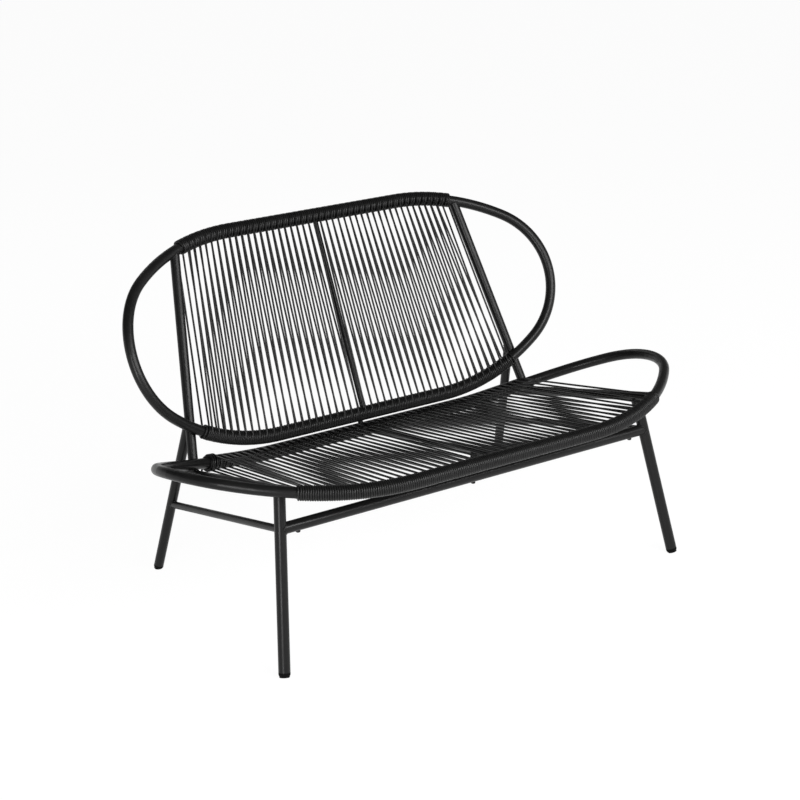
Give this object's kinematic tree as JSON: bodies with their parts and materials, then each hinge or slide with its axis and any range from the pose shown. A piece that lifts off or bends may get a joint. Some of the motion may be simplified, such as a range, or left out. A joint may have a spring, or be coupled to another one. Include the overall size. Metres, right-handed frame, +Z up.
{
  "type": "rattan garden bench",
  "caption": "Low two-seat garden bench: wide oval seat and back hoops of black round tube, strung with round rattan-style cord, on splayed straight legs.",
  "frame": {"origin": "middle of the bench's width and depth, on the floor", "axes": "+Z up; the bench faces -Y; +X along its width, to the right as seen from the front; left nodes are on the -X side"},
  "size_m": [1.3194, 0.7656, 0.7551],
  "materials": {
    "frame_paint": "black powder coat, satin, on steel tube",
    "cord": "round extruded cord, black, low sheen",
    "foot_cap": "moulded black plastic, fine texture",
    "plug": "moulded black plastic, hidden in the rail",
    "bolt": "blackened steel button head screw"
  },
  "bodies": {
    "root": {"back_bottom_wrap": "cord", "back_center_bar": "frame_paint", "back_front_strings": "cord", "back_hoop": "frame_paint", "back_rear_strings": "cord", "back_top_wrap": "cord", "back_upright_left": "frame_paint", "back_upright_right": "frame_paint", "front_foot_cap_left": "foot_cap", "front_foot_cap_right": "foot_cap", "front_leg_left": "frame_paint", "front_leg_right": "frame_paint", "front_rail": "frame_paint", "hoop_link": "frame_paint", "rail_bolts": "bolt", "rail_middle_bolt": "bolt", "rail_plug_left": "plug", "rail_plug_right": "plug", "rail_post": "frame_paint", "rail_stub_left": "frame_paint", "rail_stub_right": "frame_paint", "rear_foot_cap_left": "foot_cap", "rear_foot_cap_right": "foot_cap", "rear_leg_left": "frame_paint", "rear_leg_right": "frame_paint", "seat_bottom_strings": "cord", "seat_center_bar": "frame_paint", "seat_front_wrap": "cord", "seat_hoop": "frame_paint", "seat_rear_wrap": "cord", "seat_top_strings": "cord", "side_rail_left": "frame_paint", "side_rail_right": "frame_paint", "side_stretcher_left": "frame_paint", "side_stretcher_right": "frame_paint"}
  },
  "joints": []
}
